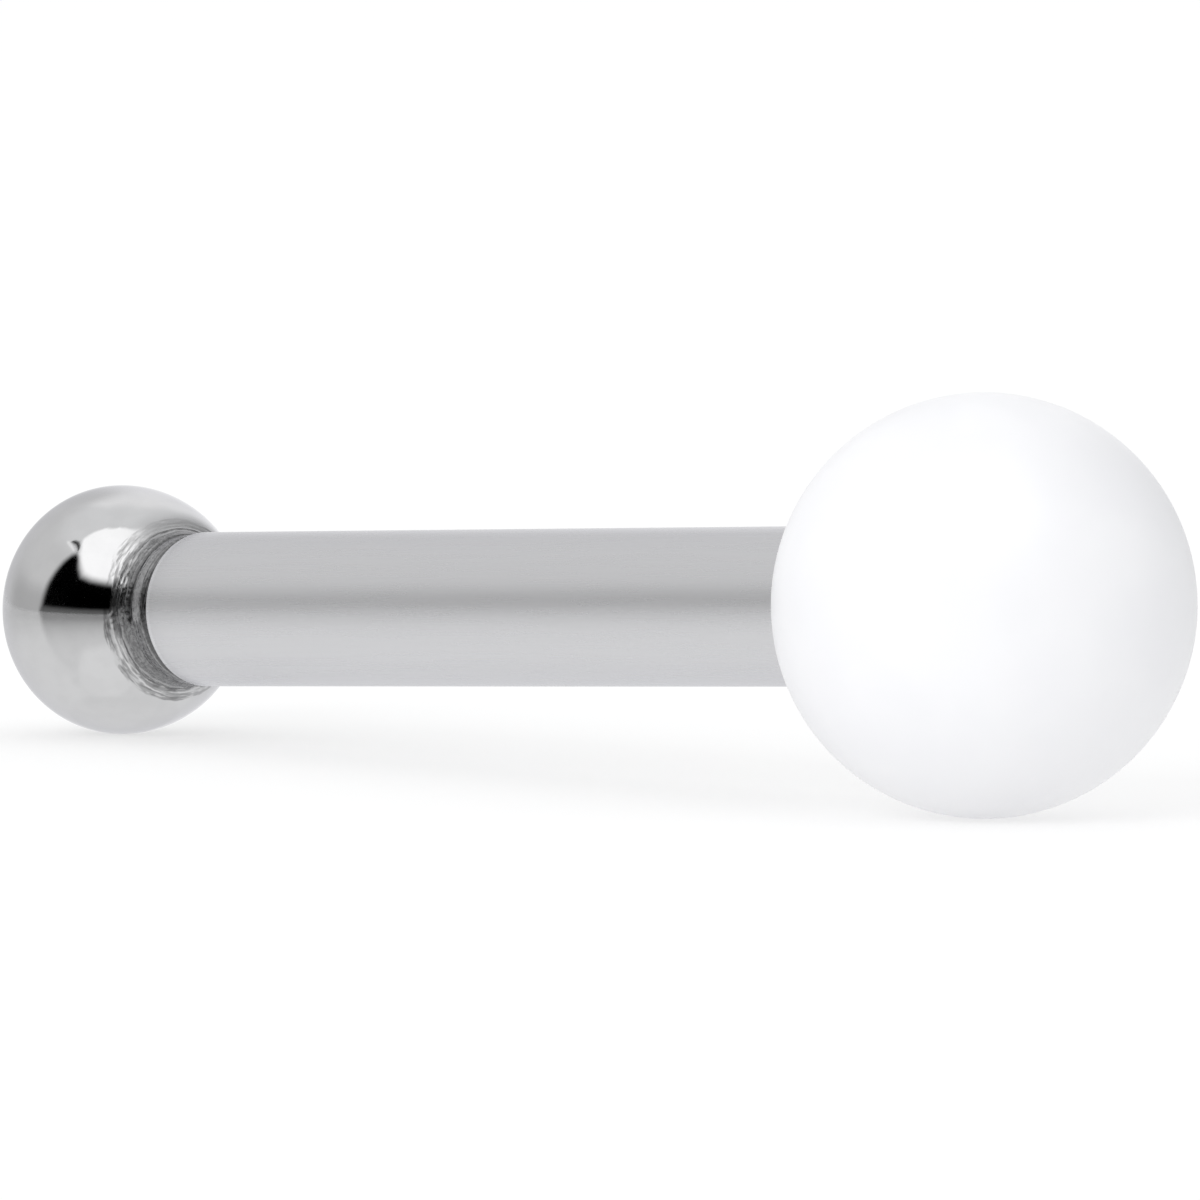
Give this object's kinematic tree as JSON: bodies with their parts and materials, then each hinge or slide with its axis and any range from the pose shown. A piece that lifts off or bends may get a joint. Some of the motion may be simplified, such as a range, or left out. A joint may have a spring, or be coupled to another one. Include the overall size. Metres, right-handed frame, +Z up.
{
  "type": "nose bone stud",
  "caption": "Straight steel nose bone with a small bone end at its tip and a white acrylic ball as its head, lying as it rests when unworn.",
  "frame": {"origin": "on the surface that the stud lies on, under the middle of its box", "axes": "+X along the post's length towards the white ball, +Y across it, +Z up from the surface; the post itself rises 3.3 degrees towards the white ball, as it lies at rest"},
  "size_m": [0.0086, 0.002, 0.0021],
  "materials": {
    "steel": "bright polished bone end, satin post, rough turned neck",
    "white_acrylic": "milky white, softly polished"
  },
  "bodies": {
    "root": {"bone_post": "steel", "acrylic_ball": "white_acrylic"}
  },
  "joints": []
}
